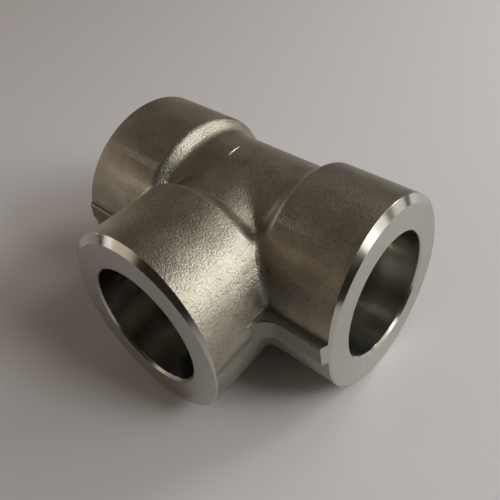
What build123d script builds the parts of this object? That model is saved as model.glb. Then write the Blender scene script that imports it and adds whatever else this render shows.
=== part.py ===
from build123d import *
import math
import os

os.makedirs("parts", exist_ok=True)

# Sizes in millimetres. Origin: where the run axis and the branch axis cross.
# X runs along the run, the branch points to -Y, Z is up.

# Lengths along each axis, measured from the crossing
end_distance = 27.86
socket_depth = 12.4
shoulder_start = 12.6

# Radii of the forged skin, and the slope between them
boss_radius = 16.15
neck_radius = 13.95
shoulder_degrees = 45.0

# The two die halves stood a little apart, and the forging sits a little high on the bored axes
die_gap = 1.35
section_rise = 0.6

# Roundings of the forged skin, as shares of the step from neck to boss
shoulder_rounding_share = 0.64
foot_rounding_share = 1.0
crotch_rounding_share = 0.5

# Trimmed band left round the parting. The trimming tool sat off centre, so each side stands
# proud of the skin by its own amount; a negative one is trimmed flush
land_height = 3.7
land_rise = 2.2
land_proud_right = 1.0
land_proud_left = 0.4
land_proud_back = 0.6
land_proud_branch_right = -0.3
land_proud_branch_left = 0.5
land_crotch_radius = 4.2
land_edge_break = 0.3

# Turned ends and bores; the mouths were broken by hand, a little more at the bottom
face_radius = 15.82
bevel_degrees = 28.0
socket_radius = 11.0
flow_radius = 7.9
rim_break = 0.28
rim_break_drop = 0.15
step_break = 0.3

# Knocks: a scratch across the top of the neck, and nicks in two socket mouths, by angle from +X or +Y
scratch_radius = 0.25
scratch_depth = 0.15
scratch_length = 7.0
scratch_x = -4.05
scratch_degrees = 4.3
scratch_skew_degrees = 5.6
nick_radius = 0.28
nick_inset = 0.6
nick_depth = 0.25
branch_nick_degrees = (-156.0, -147.0, -128.0)
run_nick_degrees = (-133.0,)

# How far a cutting shape stands outside the metal
clearance = 2.0

upper_axis = section_rise + die_gap / 2
lower_axis = section_rise - die_gap / 2
flow_reach = end_distance - socket_depth
shoulder_step = boss_radius - neck_radius
shoulder_foot = shoulder_start - shoulder_step / math.tan(math.radians(shoulder_degrees))
shoulder_rounding = shoulder_rounding_share * shoulder_step
foot_rounding = foot_rounding_share * shoulder_step
crotch_rounding = crotch_rounding_share * shoulder_step


def boss_profile(start):
    """Corners of a turned bar's half profile, from x = start (0 or less) to the boss end at +X."""
    boss_end = [(shoulder_foot, neck_radius), (shoulder_start, boss_radius),
                (end_distance, boss_radius), (end_distance, 0.0)]
    if start < 0:
        return [(start, 0.0), (start, boss_radius), (-shoulder_start, boss_radius),
                (-shoulder_foot, neck_radius)] + boss_end
    return [(start, 0.0), (start, neck_radius)] + boss_end


def corners_at(sketch, distance, side):
    """Corners of a flat shape that lie at x = +-distance on one side of the X axis."""
    return [v for v in sketch.vertices()
            if math.isclose(abs(v.X), distance, abs_tol=1e-6) and v.Y * side > 0]


def half_turn(start):
    """Half of a turned bar along X, its flat side on the XY plane and its round side up."""
    with BuildSketch(Plane.XY) as profile:
        with BuildLine():
            Polyline(*boss_profile(start), close=True)
        make_face()
        fillet(corners_at(profile, shoulder_start, 1), shoulder_rounding)
        fillet(corners_at(profile, shoulder_foot, 1), foot_rounding)
    return revolve(profile.sketch, axis=Axis.X, revolution_arc=180)


def plan_outline(right, left, back, branch_right, branch_left, crotch_radius):
    """Outline of the tee seen from above, each side stood off the skin by its own amount."""
    front_right = -boss_radius - right
    front_left = -boss_radius - left
    side_right = boss_radius + branch_right
    side_left = -boss_radius - branch_left
    rear = boss_radius + back
    waist = neck_radius + back
    points = [(-end_distance, rear), (-shoulder_start, rear), (-shoulder_foot, waist),
              (shoulder_foot, waist), (shoulder_start, rear), (end_distance, rear),
              (end_distance, front_right), (side_right, front_right), (side_right, -end_distance),
              (side_left, -end_distance), (side_left, front_left), (-end_distance, front_left)]
    with BuildSketch(Plane.XY) as outline:
        with BuildLine():
            Polyline(*points, close=True)
        make_face()
        fillet(corners_at(outline, shoulder_start, 1), shoulder_rounding)
        fillet(corners_at(outline, shoulder_foot, 1), foot_rounding)
        crotches = [v for v in outline.vertices()
                    if v.Y < 0 and abs(v.X) < end_distance - clearance
                    and v.Y > clearance - end_distance]
        fillet(crotches, crotch_radius)
    return outline.sketch


def forged_half():
    """One die half: run and branch joined, with the inside corner between the bosses rounded."""
    run = half_turn(-end_distance)
    branch = half_turn(0.0).rotate(Axis.Z, -90)
    joined = run + branch
    reach = boss_radius / 10
    crease = [e for e in joined.edges()
              if (e @ 0.5).Y < -reach and abs(abs((e @ 0.5).X) - abs((e @ 0.5).Y)) < reach / 5]
    return joined.fillet(crotch_rounding, crease)


def turned(points):
    """Full turn about the X axis of a profile given as (x, radius) corners."""
    with BuildSketch(Plane.XY) as profile:
        with BuildLine():
            Polyline(*points, close=True)
        make_face()
    return revolve(profile.sketch, axis=Axis.X)


def end_cutters():
    """What turning takes off one end at +X: the bevel, the stepped socket, and its broken mouth."""
    outside = boss_radius + upper_axis + land_proud_right + clearance
    setback = (outside - face_radius) * math.tan(math.radians(bevel_degrees))
    bevel = turned([(end_distance, face_radius), (end_distance + clearance, face_radius),
                    (end_distance + clearance, outside), (end_distance - setback, outside)])
    socket = turned([(flow_reach - step_break, 0.0), (flow_reach - step_break, flow_radius),
                     (flow_reach, flow_radius + step_break), (flow_reach, socket_radius),
                     (end_distance + clearance, socket_radius), (end_distance + clearance, 0.0)])
    narrow = socket_radius - rim_break
    wide = socket_radius + rim_break
    inner = end_distance - (wide - narrow)
    mouth = turned([(inner, 0.0), (inner, narrow), (end_distance, wide), (end_distance + clearance, wide),
                    (end_distance + clearance, 0.0)]).moved(Location((0, 0, -rim_break_drop)))
    return bevel, socket, mouth


def mouth_nicks(angles):
    """Short pins that nick the socket's wall inside its mouth at +X, by angle from +Y."""
    nicks = []
    for angle in angles:
        out = Vector(0, math.cos(math.radians(angle)), math.sin(math.radians(angle)))
        start = Vector(end_distance - nick_inset, 0, 0) + out * (socket_radius - clearance / 2)
        length = clearance / 2 + nick_depth
        nicks.append(Solid.make_cylinder(nick_radius, length, Plane(start, z_dir=out)))
    return nicks


def neck_scratch():
    """A thin bar laid across the top of the neck, sunk by the scratch's depth."""
    lean = math.radians(scratch_degrees)
    reach = neck_radius + scratch_radius - scratch_depth
    middle = Vector(scratch_x, reach * math.sin(lean), upper_axis + reach * math.cos(lean))
    skew = math.radians(scratch_skew_degrees)
    along = Vector(-math.sin(skew), math.cos(skew) * math.cos(lean), -math.cos(skew) * math.sin(lean))
    start = Plane(middle - along * (scratch_length / 2), z_dir=along)
    return Solid.make_cylinder(scratch_radius, scratch_length, start)


# Forged skin: two equal die halves and the straight wall between them
upper = forged_half()
lower = mirror(upper, about=Plane.XY)
wall = extrude(plan_outline(0.0, 0.0, 0.0, 0.0, 0.0, crotch_rounding), die_gap)
skin = upper.moved(Location((0, 0, upper_axis)))
skin = skin + wall.moved(Location((0, 0, lower_axis))) + lower.moved(Location((0, 0, lower_axis)))

# Trimmed band round the parting, its long edges lightly broken
band = extrude(plan_outline(land_proud_right, land_proud_left, land_proud_back, land_proud_branch_right,
                            land_proud_branch_left, land_crotch_radius), land_height)
band = chamfer(band.faces().filter_by(Axis.Z).edges(), land_edge_break)
body = skin + band.moved(Location((0, 0, land_rise - land_height / 2)))

# Flow passage, drilled through the run and in from the branch
run_start = Plane((-flow_reach, 0, 0), x_dir=(0, 1, 0), z_dir=(1, 0, 0))
branch_start = Plane((0, 0, 0), x_dir=(1, 0, 0), z_dir=(0, -1, 0))
run_flow = Solid.make_cylinder(flow_radius, 2 * flow_reach, run_start)
branch_flow = Solid.make_cylinder(flow_radius, flow_reach, branch_start)
body = body - (run_flow + branch_flow)

# Three turned ends
for turn in (0, 180, -90):
    for cutter in end_cutters():
        body = body - cutter.rotate(Axis.Z, turn)

# Knocks
for nick in mouth_nicks(run_nick_degrees):
    body = body - nick
for nick in mouth_nicks(branch_nick_degrees):
    body = body - nick.rotate(Axis.Z, -90)
body = body - neck_scratch()

tee = body.solid()
export_step(tee, "parts/tee_body.step")
print("volume mm3:", round(tee.volume, 1))
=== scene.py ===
"""Looks of a forged socket-weld pipe tee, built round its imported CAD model.

The tee is one steel forging. Its skin is shot-blasted, the parting is sheared and ground, and the three
ends are turned and bored. Each of those surfaces is a zone of one mesh and has a finish of its own.

Sizes are in millimetres and angles in degrees, unless a name says otherwise. The origin is where the run
and the branch cross. X runs along the run, the branch points to -Y, and Z is up.
"""

import logging
import math
from collections.abc import Sequence
from dataclasses import dataclass, field
from enum import Enum

import bmesh
import bpy
from mathutils import Matrix, Vector

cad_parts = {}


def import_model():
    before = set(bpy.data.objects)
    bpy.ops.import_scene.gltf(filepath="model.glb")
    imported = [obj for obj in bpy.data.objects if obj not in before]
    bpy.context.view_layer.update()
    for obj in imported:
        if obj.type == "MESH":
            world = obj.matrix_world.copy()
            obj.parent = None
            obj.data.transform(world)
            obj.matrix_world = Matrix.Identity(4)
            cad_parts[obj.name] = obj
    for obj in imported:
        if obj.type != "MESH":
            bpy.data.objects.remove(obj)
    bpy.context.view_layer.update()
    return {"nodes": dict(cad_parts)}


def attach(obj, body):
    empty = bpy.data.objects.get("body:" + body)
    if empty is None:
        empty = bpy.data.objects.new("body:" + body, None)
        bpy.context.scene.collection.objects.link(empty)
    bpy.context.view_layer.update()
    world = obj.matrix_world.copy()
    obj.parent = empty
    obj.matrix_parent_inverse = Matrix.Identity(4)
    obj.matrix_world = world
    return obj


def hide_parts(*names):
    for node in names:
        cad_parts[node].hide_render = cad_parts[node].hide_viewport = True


LOG = logging.getLogger("tee")
MM = 0.001

# Lays a highlight across the tool marks, as on real turned metal
QUARTER_TURN = 0.25

# Nearly all values of a noise pattern lie between these
NOISE_LOW = 0.3
NOISE_HIGH = 0.7

# Rays that soften the shading of each sharp edge
EDGE_SAMPLES = 4


def linear(hex_colour: str) -> tuple[float, float, float, float]:
    """Turns an sRGB hex colour into the linear RGBA that Blender's sockets take.

    Args:
        hex_colour: Six hex digits, with or without a leading '#'.

    Returns:
        Linear red, green and blue, and an alpha of 1.
    """
    digits = hex_colour.lstrip("#")
    parts = [int(digits[i : i + 2], 16) / 255 for i in (0, 2, 4)]
    # The numbers of the sRGB curve
    red, green, blue = (p / 12.92 if p <= 0.04045 else ((p + 0.055) / 1.055) ** 2.4 for p in parts)
    return red, green, blue, 1.0


def direction(azimuth: float, elevation: float) -> Vector:
    """Gives the unit vector from the tee towards a place round it.

    Args:
        azimuth: Turn round the tee from -Y towards +X.
        elevation: Height above the horizon.

    Returns:
        The direction.
    """
    turn, lift = math.radians(azimuth), math.radians(elevation)
    return Vector((math.sin(turn) * math.cos(lift), -math.cos(turn) * math.cos(lift), math.sin(lift)))


def add_node(
    tree: bpy.types.NodeTree,
    kind: str,
    inputs: dict[str | int, object] | None = None,
    **settings: object,
) -> bpy.types.Node:
    """Adds one node, sets its properties, and fills or links its inputs.

    Args:
        tree: The node tree that gets the node.
        kind: Blender's node type, such as "ShaderNodeMath".
        inputs: For each input, by name or index, a value or the output socket to link.
        **settings: Properties of the node, such as operation="ADD".

    Returns:
        The new node.
    """
    node = tree.nodes.new(kind)
    for name, value in settings.items():
        setattr(node, name, value)
    for key, value in (inputs or {}).items():
        socket = node.inputs[key]
        if isinstance(value, bpy.types.NodeSocket):
            tree.links.new(value, socket)
        else:
            socket.default_value = value
    return node


class Zone(Enum):
    """A surface of the tee, named for how it was made."""

    SKIN = "forged skin"
    LAND = "parting land"
    RUN_FACE = "run end face"
    BRANCH_FACE = "branch end face"
    RUN_BEVEL = "run bevel"
    BRANCH_BEVEL = "branch bevel"
    RUN_SOCKET = "run socket"
    BRANCH_SOCKET = "branch socket"
    RIM = "socket rim"
    PASSAGE = "flow passage"
    SCRATCH = "scratch"


class Spindle(Enum):
    """The axis that an end was turned about, as the factors that flatten a point onto its face."""

    RUN = (0.0, 1.0, 1.0)
    BRANCH = (1.0, 0.0, 1.0)

    def axis(self) -> tuple[float, float, float]:
        """Gives the spindle's direction."""
        return tuple(1.0 - keep for keep in self.value)


@dataclass(frozen=True)
class Finish:
    """What every metal finish has: a name, a colour and a roughness.

    Attributes:
        name: The material's name.
        colour: Colour of the metal seen face on, as sRGB hex.
        roughness: Roughness of the surface between its marks.
        edge_radius_mm: Radius that the light sees on a sharp edge.
        anisotropy: How far the tool marks draw a highlight out across them.
    """

    name: str
    colour: str
    roughness: float
    edge_radius_mm: float = 0.12
    anisotropy: float = 0.0

    def material(self) -> bpy.types.Material:
        """Builds the finish.

        Returns:
            The material, with its nodes linked.
        """
        made = bpy.data.materials.new(self.name)
        made.use_nodes = True
        tree = made.node_tree
        tree.nodes.clear()
        place = add_node(tree, "ShaderNodeTexCoord").outputs["Object"]
        edge = add_node(
            tree, "ShaderNodeBevel", {"Radius": self.edge_radius_mm * MM}, samples=EDGE_SAMPLES
        )
        colour, roughness, normal = self.surface(tree, place, edge.outputs["Normal"])
        inputs = {"Base Color": colour, "Metallic": 1.0, "Roughness": roughness, "Normal": normal}
        grooves = self.grooves(tree, place)
        if grooves is not None:
            inputs |= {
                "Tangent": grooves,
                "Anisotropic": self.anisotropy,
                "Anisotropic Rotation": QUARTER_TURN,
            }
        shader = add_node(tree, "ShaderNodeBsdfPrincipled", inputs)
        add_node(tree, "ShaderNodeOutputMaterial", {"Surface": shader.outputs["BSDF"]})
        return made

    def grooves(
        self, tree: bpy.types.NodeTree, place: bpy.types.NodeSocket
    ) -> bpy.types.NodeSocket | None:
        """Adds the nodes of the direction that tool marks run in.

        Args:
            tree: The material's node tree.
            place: Object coordinates, in metres.

        Returns:
            The direction, or None where the marks have none.
        """
        return None

    def surface(
        self, tree: bpy.types.NodeTree, place: bpy.types.NodeSocket, edge: bpy.types.NodeSocket
    ) -> tuple[object, object, bpy.types.NodeSocket]:
        """Adds the nodes of the pattern, which a plain finish doesn't have.

        Args:
            tree: The material's node tree.
            place: Object coordinates, in metres.
            edge: The normal with sharp edges softened.

        Returns:
            Colour, roughness and normal, each a value or a socket.
        """
        return linear(self.colour), self.roughness, edge


@dataclass(frozen=True)
class BlastedSkin(Finish):
    """Hot-forged steel, shot-blasted.

    The dents of the shot scatter the light, so the eye sees a matt skin that glows softly towards the
    window, with a tight orange-peel grain, slow waves from the die and faint brown stains. The bottom of
    each dent is darkened with painted shade. Finer dents than these wouldn't show in the render, so the
    grain has this width.

    Attributes:
        stain: Darker, browner colour that heat and handling leave in patches.
        stain_from: Height of a slow wave at which the stain starts.
        stain_full: Height at which it is fullest.
        stain_share: How much of the stain shows there.
        pit_shade_colour: Painted shade, the dark colour at the bottom of a shot dent.
        pit_shade_from: Height of the grain below which the painted shade starts.
        pit_shade_full: Height at which the painted shade is darkest.
        pit_shade_share: How much of the painted shade shows there.
        grain_mm: Width of one shot dent.
        grain_depth_mm: Depth of one shot dent.
        swell_mm: Width of the slow waves that the die leaves.
        swell_depth_mm: Depth of those waves.
        spread: How far the grain moves the roughness up and down.
    """

    stain: str = "#958f80"
    stain_from: float = 0.35
    stain_full: float = 0.65
    stain_share: float = 0.6
    pit_shade_colour: str = "#6e6a5f"
    pit_shade_from: float = 0.55
    pit_shade_full: float = 0.3
    pit_shade_share: float = 0.5
    grain_mm: float = 0.34
    grain_depth_mm: float = 0.09
    swell_mm: float = 4.0
    swell_depth_mm: float = 0.05
    spread: float = 0.05

    def surface(
        self, tree: bpy.types.NodeTree, place: bpy.types.NodeSocket, edge: bpy.types.NodeSocket
    ) -> tuple[object, object, bpy.types.NodeSocket]:
        """Adds the grain, the slow waves, the stains, and painted shade at the bottom of each dent.

        Args:
            tree: The material's node tree.
            place: Object coordinates, in metres.
            edge: The normal with sharp edges softened.

        Returns:
            Colour, roughness and normal, each a socket.
        """
        grain = add_node(
            tree,
            "ShaderNodeTexNoise",
            {"Vector": place, "Scale": 1 / (self.grain_mm * MM), "Detail": 2.0, "Roughness": 0.7},
        ).outputs["Fac"]
        swell = add_node(
            tree,
            "ShaderNodeTexNoise",
            {"Vector": place, "Scale": 1 / (self.swell_mm * MM), "Detail": 2.0, "Roughness": 0.5},
        ).outputs["Fac"]
        waved = add_node(
            tree,
            "ShaderNodeBump",
            {"Height": swell, "Distance": self.swell_depth_mm * MM, "Strength": 1.0, "Normal": edge},
        )
        grained = add_node(
            tree,
            "ShaderNodeBump",
            {
                "Height": grain,
                "Distance": self.grain_depth_mm * MM,
                "Strength": 1.0,
                "Normal": waved.outputs["Normal"],
            },
        )
        patches = add_node(
            tree,
            "ShaderNodeMapRange",
            {
                "Value": swell,
                "From Min": self.stain_from,
                "From Max": self.stain_full,
                "To Min": 0.0,
                "To Max": self.stain_share,
            },
        )
        stained = add_node(
            tree,
            "ShaderNodeMix",
            {"Factor": patches.outputs["Result"], "A": linear(self.colour), "B": linear(self.stain)},
            data_type="RGBA",
        )
        # Painted shade: the colour darkens towards the bottom of each shot dent, where the grain is
        # lowest
        pit_shade_mask = add_node(
            tree,
            "ShaderNodeMapRange",
            {
                "Value": grain,
                "From Min": self.pit_shade_from,
                "From Max": self.pit_shade_full,
                "To Min": 0.0,
                "To Max": self.pit_shade_share,
            },
        )
        pit_shaded = add_node(
            tree,
            "ShaderNodeMix",
            {"Factor": pit_shade_mask.outputs["Result"], "A": stained.outputs["Result"], "B": linear(self.pit_shade_colour)},
            data_type="RGBA",
        )
        rough = add_node(
            tree,
            "ShaderNodeMapRange",
            {
                "Value": grain,
                "From Min": NOISE_LOW,
                "From Max": NOISE_HIGH,
                "To Min": self.roughness - self.spread,
                "To Max": self.roughness + self.spread,
            },
        )
        return pit_shaded.outputs["Result"], rough.outputs["Result"], grained.outputs["Normal"]


@dataclass(frozen=True)
class ShearedLand(Finish):
    """Flash trimmed in a press and touched with a grinder.

    The eye sees a satin band, darker than the turned ends, with faint upright shear marks. Real marks are
    too fine to show in the render, so they are drawn coarser.

    Attributes:
        mark_mm: Spacing of the shear marks along the parting.
        mark_depth_mm: Depth of a mark.
        mark_length_mm: Height over which a mark changes.
        spread: How far the marks move the roughness up and down.
    """

    mark_mm: float = 0.4
    mark_depth_mm: float = 0.02
    mark_length_mm: float = 6.0
    spread: float = 0.08

    def surface(
        self, tree: bpy.types.NodeTree, place: bpy.types.NodeSocket, edge: bpy.types.NodeSocket
    ) -> tuple[object, object, bpy.types.NodeSocket]:
        """Adds the upright marks.

        Args:
            tree: The material's node tree.
            place: Object coordinates, in metres.
            edge: The normal with sharp edges softened.

        Returns:
            Colour as a value, and roughness and normal as sockets.
        """
        squashed = add_node(
            tree,
            "ShaderNodeMapping",
            {"Vector": place, "Scale": (1.0, 1.0, self.mark_mm / self.mark_length_mm)},
        )
        marks = add_node(
            tree,
            "ShaderNodeTexNoise",
            {
                "Vector": squashed.outputs["Vector"],
                "Scale": 1 / (self.mark_mm * MM),
                "Detail": 3.0,
                "Roughness": 0.55,
            },
        ).outputs["Fac"]
        bump = add_node(
            tree,
            "ShaderNodeBump",
            {"Height": marks, "Distance": self.mark_depth_mm * MM, "Strength": 1.0, "Normal": edge},
        )
        rough = add_node(
            tree,
            "ShaderNodeMapRange",
            {
                "Value": marks,
                "From Min": NOISE_LOW,
                "From Max": NOISE_HIGH,
                "To Min": self.roughness - self.spread,
                "To Max": self.roughness + self.spread,
            },
        )
        return linear(self.colour), rough.outputs["Result"], bump.outputs["Normal"]


@dataclass(frozen=True)
class TurnedSteel(Finish):
    """Steel cut on a lathe, with fine rings about the spindle axis.

    The eye sees bright grey metal whose highlights are drawn out across the rings. Real rings are 0.1 to
    0.2 mm apart, too fine to show in the render, so they are drawn coarser.

    Attributes:
        spindle: The axis that the surface was turned about.
        ring_mm: Spacing of the tool marks.
        ring_depth_mm: Depth of a tool mark.
        along_axis: True where the marks follow each other along the axis, as in a bore.
        lean: How far the shading normal leans away from the spindle. It puts the highlights where a
            steeper or rounder bevel has them, and the mesh keeps the slope of the CAD model.
        smear_mm: Width of the duller patches that handling leaves.
        spread: How far those patches move the roughness up and down.
    """

    spindle: Spindle = Spindle.RUN
    ring_mm: float = 0.3
    ring_depth_mm: float = 0.002
    along_axis: bool = False
    lean: float = 0.0
    smear_mm: float = 5.0
    spread: float = 0.04

    def surface(
        self, tree: bpy.types.NodeTree, place: bpy.types.NodeSocket, edge: bpy.types.NodeSocket
    ) -> tuple[object, object, bpy.types.NodeSocket]:
        """Adds the rings and the duller patches, and leans the normal where the finish asks for it.

        Args:
            tree: The material's node tree.
            place: Object coordinates, in metres.
            edge: The normal with sharp edges softened.

        Returns:
            Colour as a value, and roughness and normal as sockets.
        """
        keep = self.spindle.axis() if self.along_axis else self.spindle.value
        flat = add_node(tree, "ShaderNodeMapping", {"Vector": place, "Scale": keep})
        radius = add_node(
            tree, "ShaderNodeVectorMath", {0: flat.outputs["Vector"]}, operation="LENGTH"
        )
        line = add_node(tree, "ShaderNodeCombineXYZ", {"X": radius.outputs["Value"]})
        if self.lean:
            away = add_node(
                tree, "ShaderNodeVectorMath", {0: flat.outputs["Vector"]}, operation="NORMALIZE"
            )
            leaning = add_node(
                tree,
                "ShaderNodeVectorMath",
                {0: away.outputs["Vector"], 1: (self.lean,) * 3, 2: edge},
                operation="MULTIPLY_ADD",
            )
            edge = add_node(
                tree, "ShaderNodeVectorMath", {0: leaning.outputs["Vector"]}, operation="NORMALIZE"
            ).outputs["Vector"]
        rings = add_node(
            tree,
            "ShaderNodeTexNoise",
            {
                "Vector": line.outputs["Vector"],
                "Scale": 1 / (self.ring_mm * MM),
                "Detail": 2.0,
                "Roughness": 0.6,
            },
        ).outputs["Fac"]
        bump = add_node(
            tree,
            "ShaderNodeBump",
            {"Height": rings, "Distance": self.ring_depth_mm * MM, "Strength": 1.0, "Normal": edge},
        )
        smear = add_node(
            tree,
            "ShaderNodeTexNoise",
            {"Vector": place, "Scale": 1 / (self.smear_mm * MM), "Detail": 2.0, "Roughness": 0.5},
        )
        rough = add_node(
            tree,
            "ShaderNodeMapRange",
            {
                "Value": smear.outputs["Fac"],
                "From Min": NOISE_LOW,
                "From Max": NOISE_HIGH,
                "To Min": self.roughness - self.spread,
                "To Max": self.roughness + self.spread,
            },
        )
        return linear(self.colour), rough.outputs["Result"], bump.outputs["Normal"]

    def grooves(
        self, tree: bpy.types.NodeTree, place: bpy.types.NodeSocket
    ) -> bpy.types.NodeSocket | None:
        """Adds the direction round the spindle, which the rings run in.

        Args:
            tree: The material's node tree.
            place: Object coordinates, in metres.

        Returns:
            The direction.
        """
        round_spindle = add_node(
            tree, "ShaderNodeVectorMath", {0: self.spindle.axis(), 1: place}, operation="CROSS_PRODUCT"
        )
        unit = add_node(
            tree, "ShaderNodeVectorMath", {0: round_spindle.outputs["Vector"]}, operation="NORMALIZE"
        )
        return unit.outputs["Vector"]


def tee_finishes() -> dict[Zone, Finish]:
    """Gives each zone the finish that its making left on it.

    Returns:
        The finishes by zone.
    """
    skin, land, turned = "#b2ae9f", "#87837a", "#c4c3ba"
    return {
        # Left as it came from the die and the shot: matt, grainy and warm
        Zone.SKIN: BlastedSkin("shot-blasted forged steel", skin, roughness=0.4),
        # Where the flash was sheared off: a satin band, darker than the ends
        Zone.LAND: ShearedLand("sheared and ground steel", land, roughness=0.42),
        # Faced square: even pale grey, with highlights that swing round the ring
        Zone.RUN_FACE: TurnedSteel(
            "turned steel, run face", turned, roughness=0.3, anisotropy=0.4, spindle=Spindle.RUN
        ),
        Zone.BRANCH_FACE: TurnedSteel(
            "turned steel, branch face", turned, roughness=0.3, anisotropy=0.4, spindle=Spindle.BRANCH
        ),
        # Bevelled with a smoother cut than the face: the window flashes in short bright arcs
        Zone.RUN_BEVEL: TurnedSteel(
            "turned steel, run bevel", turned, roughness=0.17, spindle=Spindle.RUN, lean=0.33
        ),
        Zone.BRANCH_BEVEL: TurnedSteel(
            "turned steel, branch bevel", turned, roughness=0.17, spindle=Spindle.BRANCH, lean=0.33
        ),
        # Bored: the rings run round the wall, so reflections stretch along it into long streaks
        Zone.RUN_SOCKET: TurnedSteel(
            "bored steel, run socket",
            turned,
            roughness=0.2,
            anisotropy=0.8,
            spindle=Spindle.RUN,
            along_axis=True,
        ),
        Zone.BRANCH_SOCKET: TurnedSteel(
            "bored steel, branch socket",
            turned,
            roughness=0.2,
            anisotropy=0.8,
            spindle=Spindle.BRANCH,
            along_axis=True,
        ),
        # Broken by hand: a thin bright line round each mouth
        Zone.RIM: Finish("deburred steel edge", turned, roughness=0.18),
        # Drilled and left: dull from the drill, and given the land's darker colour as painted shade deep
        # in the bore
        Zone.PASSAGE: Finish("drilled steel, painted shade", land, roughness=0.4),
        # Bare metal under the blasted skin: a fine line brighter than what is round it
        Zone.SCRATCH: Finish("scratched steel", turned, roughness=0.3, edge_radius_mm=0.05),
    }


@dataclass
class TeeBody:
    """The forging, its sizes in millimetres as the CAD model has them.

    Attributes:
        node: Name of the CAD node.
        end_distance: From the crossing of the axes to each end face.
        socket_depth: Depth of each socket.
        socket_radius: Radius of each socket.
        passage_radius: Radius of the flow passage.
        rim_break: Width of the broken edge at a socket's mouth.
        mouth_depth: How far down its socket the nicked mouth reaches.
        bevel_degrees: Slope of the bevel from the end face.
        bevel_reach: How far back from the end face the bevel may reach.
        neck_radius: Radius of the neck.
        boss_radius: Radius of the bosses.
        upper_height: Height of the axis of the upper die half.
        lower_height: Height of the axis of the lower die half.
        land_low: Lowest height of the parting land.
        land_high: Highest height of the parting land.
        land_break: Height within which the land's broken edges lie.
        scratch_middle: Middle of the scratch on the neck.
        scratch_reach: Half the scratch's length, and a little more.
        slack: How far a facet's middle may lie off its surface.
        band_slack: How far a facet's middle may lie past the land's edges.
        square: Least cosine of a normal that counts as square to a face.
        level: Greatest cosine of a normal that counts as level with a bore's wall.
        upright: Greatest upward share of the normal of an upright wall.
        broken: Least upward share of the normal of the land's broken edges.
        bevel_slack: How far the cosine of the bevel's slope may be off.
        scratch_cosine: Cosine to the neck's own normal below which a facet is in the scratch.
        merge_distance: Distance at which two corners are one.
        facet_sag: How far inside the round skin a facet's middle may lie.
        crotch_start: Where the easing of the seam between run and branch starts, from the crossing.
        crotch_end: Where it ends.
        crotch_fade: Over what length it fades out there.
        crotch_reach: How far from the seam the skin is eased.
        crotch_facet: Longest edge of a facet there.
        crotch_refinings: How often the facets are halved.
        crotch_easings: How often the skin is eased.
        easing_widths: How many widths the easings take in turn.
        easing_least: Narrowest of those widths, as a share of the reach.
        easing_more: What the widest has over the narrowest, as a share of the reach.
        easing_factor: How far one easing moves a corner.
        pinned_edge: Length of edge, in facets, past which its corners stay where they are.
        crease_degrees: Angle past which an edge is sharp.
        finishes: The finish of each zone.
    """

    node: str = "tee_body"
    end_distance: float = 27.86
    socket_depth: float = 12.4
    socket_radius: float = 11.0
    passage_radius: float = 7.9
    rim_break: float = 0.6
    mouth_depth: float = 1.1
    bevel_degrees: float = 28.0
    bevel_reach: float = 3.0
    neck_radius: float = 13.95
    boss_radius: float = 16.15
    upper_height: float = 1.275
    lower_height: float = -0.075
    land_low: float = 0.35
    land_high: float = 4.05
    land_break: float = 0.26
    scratch_middle: Vector = field(default_factory=lambda: Vector((-4.05, 1.05, 15.2)))
    scratch_reach: float = 3.7
    slack: float = 0.05
    band_slack: float = 0.01
    square: float = 0.99
    level: float = 0.01
    upright: float = 0.02
    broken: float = 0.6
    bevel_slack: float = 0.03
    scratch_cosine: float = 0.97
    merge_distance: float = 0.0005
    facet_sag: float = 0.03
    crotch_start: float = 2.0
    crotch_end: float = 15.0
    crotch_fade: float = 4.0
    crotch_reach: float = 6.0
    crotch_facet: float = 0.8
    crotch_refinings: int = 6
    crotch_easings: int = 24
    easing_widths: int = 4
    easing_least: float = 0.35
    easing_more: float = 0.5
    easing_factor: float = 0.5
    pinned_edge: float = 3.0
    crease_degrees: float = 22.0
    finishes: dict[Zone, Finish] = field(default_factory=tee_finishes)

    def end_zone(self, centre: Vector, normal: Vector, axis: Vector, on_run: bool) -> Zone | None:
        """Tells which zone of one turned end a face lies in.

        Args:
            centre: The face's centre, in millimetres.
            normal: The face's outward normal.
            axis: Direction from the crossing out through that end.
            on_run: True for an end of the run, False for the branch.

        Returns:
            The zone, or None where the face isn't part of that end.
        """
        along = centre.dot(axis)
        out = centre - along * axis
        facing = normal.dot(axis)
        inward = normal.dot(out) < 0
        if along > self.end_distance - self.slack and facing > self.square:
            return Zone.RUN_FACE if on_run else Zone.BRANCH_FACE
        if out.length < self.socket_radius + self.rim_break and along > 0:
            in_mouth = along > self.end_distance - self.mouth_depth
            on_wall = inward and abs(facing) < self.level and out.length < self.socket_radius
            if in_mouth and not on_wall:
                return Zone.RIM
            floor = self.end_distance - self.socket_depth
            in_socket = along > floor - self.slack and (inward or facing > self.square)
            if in_socket and out.length > self.passage_radius + self.rim_break:
                return Zone.RUN_SOCKET if on_run else Zone.BRANCH_SOCKET
        slope = math.cos(math.radians(self.bevel_degrees))
        on_slope = abs(facing - slope) < self.bevel_slack and not inward
        if on_slope and along > self.end_distance - self.bevel_reach:
            return Zone.RUN_BEVEL if on_run else Zone.BRANCH_BEVEL
        if out.length < self.passage_radius + self.rim_break and inward and along > 0:
            return Zone.PASSAGE
        return None

    def in_scratch(self, centre: Vector, normal: Vector) -> bool:
        """Tells whether a face lies in the scratch on the neck.

        Args:
            centre: The face's centre, in millimetres.
            normal: The face's outward normal.

        Returns:
            True if it does.
        """
        if (centre - self.scratch_middle).length >= self.scratch_reach:
            return False
        out = Vector((0.0, centre.y, centre.z - self.upper_height))
        sunk = out.length < self.neck_radius - self.slack
        return sunk or normal.dot(out.normalized()) < self.scratch_cosine

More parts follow.
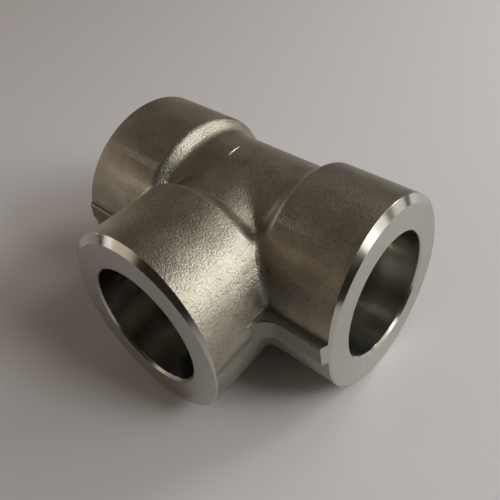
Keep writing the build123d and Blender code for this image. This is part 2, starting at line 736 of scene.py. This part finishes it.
    def on_land(self, centre: Vector, normal: Vector) -> bool:
        """Tells whether a face lies on the parting land, its wall or its broken edges.

        Args:
            centre: The face's centre, in millimetres.
            normal: The face's outward normal.

        Returns:
            True if it does.
        """
        in_band = self.land_low - self.band_slack < centre.z < self.land_high + self.band_slack
        off_edge = min(abs(centre.z - self.land_low), abs(centre.z - self.land_high))
        on_edge = off_edge < self.land_break and abs(normal.z) > self.broken
        return in_band and (abs(normal.z) < self.upright or on_edge)

    def zone_of(self, centre: Vector, normal: Vector) -> Zone:
        """Tells which zone a face lies in.

        Args:
            centre: The face's centre, in millimetres.
            normal: The face's outward normal.

        Returns:
            The zone.
        """
        ends = ((Vector((1, 0, 0)), True), (Vector((-1, 0, 0)), True), (Vector((0, -1, 0)), False))
        for axis, on_run in ends:
            zone = self.end_zone(centre, normal, axis, on_run)
            if zone is not None:
                return zone
        if self.in_scratch(centre, normal):
            return Zone.SCRATCH
        return Zone.LAND if self.on_land(centre, normal) else Zone.SKIN

    def near_crotch(self, point: Vector, reach: float) -> bool:
        """Tells whether a point lies near a seam where run and branch meet, short of the land.

        Args:
            point: The point, in millimetres.
            reach: How far from the seam counts as near.

        Returns:
            True if it does.
        """
        off_seam = abs(abs(point.x) + point.y) / math.sqrt(2)
        along_seam = (abs(point.x) - point.y) / 2
        fade = min(1.0, (self.crotch_end - along_seam) / self.crotch_fade)
        return along_seam > self.crotch_start and off_seam < reach * fade

    def on_skin(self, point: Vector) -> Vector:
        """Moves a point from the middle of a facet out to the round skin that the facet stands for.

        Args:
            point: The point, in millimetres.

        Returns:
            The point on the skin, or the same point where the skin isn't a plain cylinder.
        """
        height = max(min(point.z, self.upper_height), self.lower_height)
        for foot in (Vector((point.x, 0.0, height)), Vector((0.0, point.y, height))):
            out = point - foot
            for radius in (self.neck_radius, self.boss_radius):
                if 0.0 < radius - out.length < self.facet_sag:
                    return foot + out * (radius / out.length)
        return point

    def refine_crotch(self, bm: bmesh.types.BMesh, skin: int) -> None:
        """Halves the long facets of the skin along the seams of run and branch.

        Args:
            bm: The tee's mesh, in metres, with its zones marked.
            skin: Material index of the skin.
        """
        for _ in range(self.crotch_refinings):
            long_edges = [
                edge
                for edge in bm.edges
                if edge.calc_length() > self.crotch_facet * MM
                and all(face.material_index == skin for face in edge.link_faces)
                and self.near_crotch((edge.verts[0].co + edge.verts[1].co) / 2 / MM, self.crotch_reach)
            ]
            halved = bmesh.ops.subdivide_edges(bm, edges=long_edges, cuts=1)
            for vert in halved["geom_inner"]:
                if isinstance(vert, bmesh.types.BMVert):
                    vert.co = self.on_skin(vert.co / MM) * MM
            bmesh.ops.triangulate(bm, faces=[face for face in bm.faces if len(face.verts) > 3])

    def ease_crotch(self, bm: bmesh.types.BMesh, skin: int) -> None:
        """Eases the skin along the seams of run and branch into one flowing form.

        Args:
            bm: The tee's mesh, in metres, with the skin there refined.
            skin: Material index of the skin.
        """
        pinned = self.pinned_edge * self.crotch_facet * MM
        for step in range(self.crotch_easings):
            wider = self.easing_more * (step % self.easing_widths) / (self.easing_widths - 1)
            reach = self.crotch_reach * (self.easing_least + wider)
            eased = [
                vert
                for vert in bm.verts
                if self.near_crotch(vert.co / MM, reach)
                and all(face.material_index == skin for face in vert.link_faces)
                and all(edge.calc_length() < pinned for edge in vert.link_edges)
            ]
            bmesh.ops.smooth_vert(
                bm,
                verts=eased,
                factor=self.easing_factor,
                use_axis_x=True,
                use_axis_y=True,
                use_axis_z=True,
            )

    def build(self, nodes: dict[str, bpy.types.Object]) -> bpy.types.Object:
        """Copies and merges the CAD mesh, marks its zones and creases, and dresses it.

        Args:
            nodes: The CAD nodes by name.

        Returns:
            The piece that stands for the CAD node.
        """
        mesh = nodes[self.node].data.copy()
        mesh.name = "tee_forging"
        mesh.materials.clear()
        zones = list(self.finishes)
        for zone in zones:
            mesh.materials.append(self.finishes[zone].material())
        bm = bmesh.new()
        bm.from_mesh(mesh)
        bmesh.ops.remove_doubles(bm, verts=bm.verts, dist=self.merge_distance * MM)
        bmesh.ops.dissolve_degenerate(bm, dist=self.merge_distance * MM, edges=bm.edges)
        bm.normal_update()
        counts = {zone: 0 for zone in zones}
        for face in bm.faces:
            zone = self.zone_of(face.calc_center_median() / MM, face.normal)
            face.material_index = zones.index(zone)
            face.smooth = True
            counts[zone] += 1
        skin = zones.index(Zone.SKIN)
        self.refine_crotch(bm, skin)
        self.ease_crotch(bm, skin)
        bm.normal_update()
        for edge in bm.edges:
            angle = edge.calc_face_angle(0.0)
            edge.smooth = angle < math.radians(self.crease_degrees)
        bm.to_mesh(mesh)
        bm.free()
        piece = bpy.data.objects.new("tee_forging", mesh)
        bpy.context.scene.collection.objects.link(piece)
        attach(piece, "root")
        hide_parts(self.node)
        for zone, count in counts.items():
            LOG.info("%s: %d faces", zone.value, count)
        return piece


@dataclass
class Floor:
    """A plain pale floor that the tee rests on.

    Attributes:
        height: Height of the floor, in millimetres.
        half_width: Half the floor's side, in millimetres.
        colour: The floor's colour.
        roughness: The floor's roughness.
    """

    height: float = -16.22
    half_width: float = 1500.0
    colour: str = "#e9e7e7"
    roughness: float = 0.75

    def build(self) -> bpy.types.Object:
        """Builds the floor.

        Returns:
            The floor.
        """
        # Uncoated card: it takes the tee's shadow with no reflection of its own
        made = bpy.data.materials.new("matt card")
        made.use_nodes = True
        tree = made.node_tree
        tree.nodes.clear()
        shader = add_node(
            tree,
            "ShaderNodeBsdfPrincipled",
            {"Base Color": linear(self.colour), "Roughness": self.roughness},
        )
        add_node(tree, "ShaderNodeOutputMaterial", {"Surface": shader.outputs["BSDF"]})
        mesh = bpy.data.meshes.new("floor")
        bm = bmesh.new()
        bmesh.ops.create_grid(bm, x_segments=1, y_segments=1, size=self.half_width * MM)
        bmesh.ops.translate(bm, verts=bm.verts, vec=(0, 0, self.height * MM))
        bm.to_mesh(mesh)
        bm.free()
        mesh.materials.append(made)
        floor = bpy.data.objects.new("floor", mesh)
        bpy.context.scene.collection.objects.link(floor)
        return floor


@dataclass
class SoftBox:
    """A rectangular lamp that faces the tee.

    Attributes:
        name: The lamp's name.
        azimuth: Direction of the lamp round the tee, in degrees, 0 at the front.
        elevation: Height of the lamp, in degrees.
        distance: Distance from the tee, in millimetres.
        width: Width of the lamp as the tee sees it, in degrees.
        height: Height of the lamp as the tee sees it, in degrees.
        radiance: Brightness of its face, where 1 is white.
        colour: Colour of its light.
    """

    name: str
    azimuth: float
    elevation: float
    distance: float
    width: float
    height: float
    radiance: float
    colour: str = "#ffffff"

    def build(self) -> bpy.types.Object:
        """Builds the lamp.

        Returns:
            The lamp.
        """
        away = direction(self.azimuth, self.elevation)
        lamp = bpy.data.lights.new(self.name, "AREA")
        lamp.shape = "RECTANGLE"
        lamp.size = 2 * self.distance * MM * math.tan(math.radians(self.width / 2))
        lamp.size_y = 2 * self.distance * MM * math.tan(math.radians(self.height / 2))
        lamp.energy = self.radiance * math.pi * lamp.size * lamp.size_y
        lamp.color = linear(self.colour)[:3]
        made = bpy.data.objects.new(self.name, lamp)
        made.location = away * self.distance * MM
        made.rotation_euler = away.to_track_quat("Z", "Y").to_euler()
        made.visible_camera = False
        bpy.context.scene.collection.objects.link(made)
        return made


@dataclass
class Studio:
    """The room's own light and the lamps: a window at the right rear, and the dim room round it.

    Attributes:
        room: Colour of the room, which the shaded metal shows.
        strength: Strength of that colour.
        lamps: The lamps. Each line has azimuth, elevation, distance, width, height and radiance.
    """

    room: str = "#2c2622"
    strength: float = 1.0
    lamps: tuple[SoftBox, ...] = (
        # A window with a lighter and a darker side, and the sill under it
        SoftBox("window_1", 105.0, 36.0, 500.0, 15.0, 14.0, 9.85),
        SoftBox("window_2", 105.0, 50.0, 500.0, 15.0, 14.0, 3.64, "#fffaf5"),
        SoftBox("window_3", 105.0, 22.0, 500.0, 15.0, 14.0, 1.7),
        SoftBox("window_4", 120.0, 36.0, 500.0, 15.0, 14.0, 3.6),
        SoftBox("window_5", 120.0, 22.0, 500.0, 15.0, 14.0, 1.1),
        SoftBox("window_6", 135.0, 36.0, 500.0, 15.0, 14.0, 1.95),
        SoftBox("window_7", 150.0, 22.0, 500.0, 15.0, 14.0, 13.6),
        SoftBox("sill_1", 105.0, 8.0, 500.0, 15.0, 14.0, 2.2, "#fff2e6"),
        SoftBox("sill_2", 132.0, 8.0, 500.0, 36.0, 14.0, 0.75, "#fff8ee"),
        # Walls and ceiling that throw its light back, each a little warmer than the window
        SoftBox("back_wall_1", 165.0, 50.0, 500.0, 15.0, 14.0, 1.55, "#fffaf5"),
        SoftBox("back_wall_2", 180.0, 43.0, 500.0, 15.0, 28.0, 0.9, "#fff0e0"),
        SoftBox("back_wall_3", -140.0, 14.0, 800.0, 24.0, 34.0, 0.26, "#ffeedd"),
        SoftBox("ceiling_1", -120.0, 60.0, 800.0, 40.0, 20.0, 0.23, "#ffeedd"),
        SoftBox("ceiling_2", -30.0, 60.0, 800.0, 40.0, 20.0, 0.2, "#ffeedd"),
        SoftBox("left_wall_1", -90.0, 3.0, 800.0, 24.0, 16.0, 2.23, "#fff2ec"),
        SoftBox("left_wall_2", -78.0, 20.0, 800.0, 48.0, 16.0, 0.74, "#ffefe6"),
        SoftBox("left_wall_3", -115.0, 20.0, 800.0, 24.0, 16.0, 0.22, "#ffe4cc"),
        SoftBox("front_wall_1", -40.0, 12.0, 800.0, 24.0, 30.0, 0.28, "#ffeedd"),
        SoftBox("front_wall_2", -15.0, 36.0, 800.0, 24.0, 16.0, 0.25, "#ffe4c8"),
        # A small lamp across the room, and its glow on the wall
        SoftBox("far_lamp", -56.0, 8.0, 800.0, 8.0, 10.0, 1.1),
        SoftBox("far_lamp_glow", -46.0, 20.0, 800.0, 26.0, 22.0, 0.45, "#ffe8d0"),
    )

    def build(self) -> bpy.types.World:
        """Builds the room and the lamps.

        Returns:
            The room.
        """
        world = bpy.data.worlds.new("room")
        world.use_nodes = True
        tree = world.node_tree
        tree.nodes.clear()
        room = add_node(
            tree, "ShaderNodeBackground", {"Color": linear(self.room), "Strength": self.strength}
        )
        add_node(tree, "ShaderNodeOutputWorld", {"Surface": room.outputs["Background"]})
        bpy.context.scene.world = world
        for lamp in self.lamps:
            LOG.info("%s lamp", lamp.build().name)
        return world


@dataclass
class PhotoCamera:
    """The camera, where the photograph was taken from. The image is 500 x 500 pixels.

    Attributes:
        azimuth: Direction of the view axis round the tee, in degrees.
        elevation: Height of the view axis, in degrees.
        roll: Turn about the view axis, in degrees.
        place: Where the camera stands, in millimetres.
        focal_px: Focal length, in pixels.
        centre_px: Where the view axis meets the image, in pixels from the top left.
        image_px: Side of the image, in pixels.
        sensor_mm: Width of the sensor, in millimetres.
        near: Nearest distance that shows, in millimetres.
        far: Farthest distance that shows, in millimetres.
    """

    azimuth: float = 43.1099
    elevation: float = 35.5076
    roll: float = -5.8885
    place: tuple[float, float, float] = (60.062, -58.927, 77.87)
    focal_px: float = 610.6006
    centre_px: tuple[float, float] = (267.5296, 146.2846)
    image_px: float = 500.0
    sensor_mm: float = 36.0
    near: float = 1.0
    far: float = 10000.0

    def build(self) -> bpy.types.Object:
        """Builds the camera and makes it the scene's own.

        Returns:
            The camera.
        """
        turn, roll = math.radians(self.azimuth), math.radians(self.roll)
        back = direction(self.azimuth, self.elevation)
        right = Vector((math.cos(turn), math.sin(turn), 0.0))
        up = back.cross(right)
        rolled_right = math.cos(roll) * right + math.sin(roll) * up
        rolled_up = math.cos(roll) * up - math.sin(roll) * right
        lens = bpy.data.cameras.new("photo_camera")
        lens.sensor_width = self.sensor_mm
        lens.lens = self.focal_px / self.image_px * lens.sensor_width
        lens.shift_x = 0.5 - self.centre_px[0] / self.image_px
        lens.shift_y = self.centre_px[1] / self.image_px - 0.5
        lens.clip_start = self.near * MM
        lens.clip_end = self.far * MM
        camera = bpy.data.objects.new("photo_camera", lens)
        turned = Matrix((rolled_right, rolled_up, back)).transposed().to_4x4()
        camera.matrix_world = Matrix.Translation(Vector(self.place) * MM) @ turned
        bpy.context.scene.collection.objects.link(camera)
        bpy.context.scene.camera = camera
        return camera


def main() -> None:
    """Builds the camera, the light, the floor and the tee, in that order."""
    logging.basicConfig(level=logging.INFO, format="%(message)s")
    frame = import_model()
    bpy.context.scene.view_settings.view_transform = "Standard"
    for stage in (PhotoCamera(), Studio(), Floor()):
        LOG.info("%s built", stage.build().name)
    tee = TeeBody().build(frame["nodes"])
    LOG.info("%s built: %d triangles", tee.name, len(tee.data.polygons))


if __name__ == "__main__":
    main()
